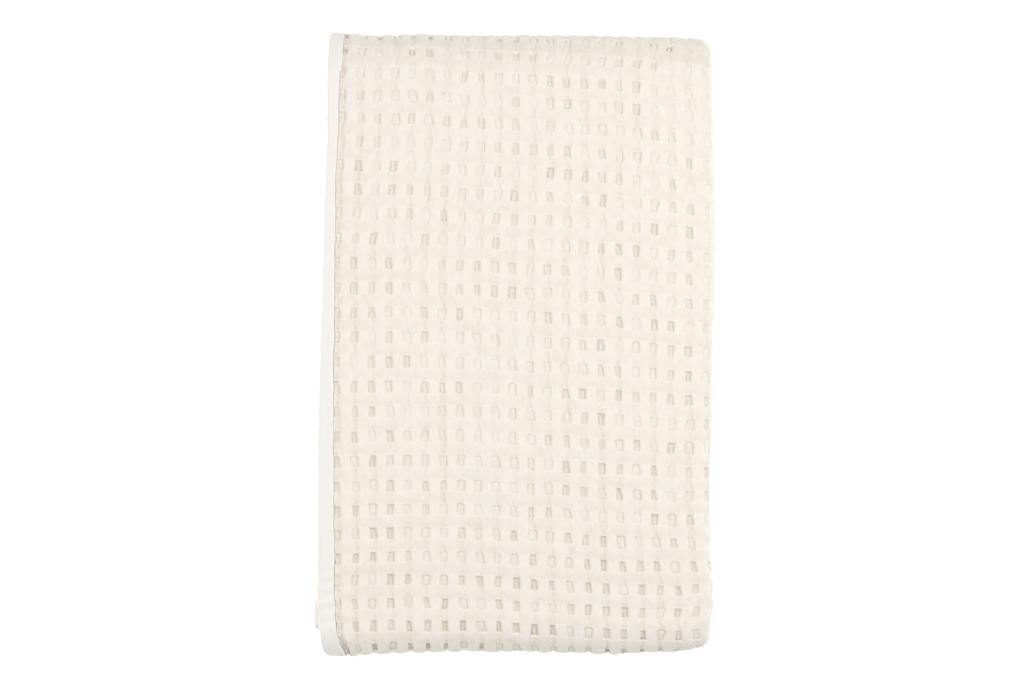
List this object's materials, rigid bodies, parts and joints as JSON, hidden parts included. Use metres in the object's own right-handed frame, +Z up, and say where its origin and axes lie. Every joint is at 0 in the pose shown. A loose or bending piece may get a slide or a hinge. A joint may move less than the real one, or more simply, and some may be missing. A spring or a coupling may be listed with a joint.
{
  "type": "folded bedspread",
  "caption": "Large-cell waffle-weave cotton bedspread with white taped long edges, folded flat into a thick rectangular stack.",
  "frame": {"origin": "centre of the folded stack's outline, on the surface that it rests on", "axes": "+X across the stack, away from the taped edge that shows; +Y along the stack, towards its largest fold; +Z up"},
  "size_m": [0.4204, 0.671, 0.1001],
  "materials": {
    "waffle_cloth": "undyed cream cotton in a large waffle weave, matt",
    "binding_tape": "white cotton tape, plain weave, matt"
  },
  "bodies": {
    "root": {"cloth_panel": "waffle_cloth", "side_binding_1": "binding_tape", "side_binding_2": "binding_tape"}
  },
  "joints": []
}
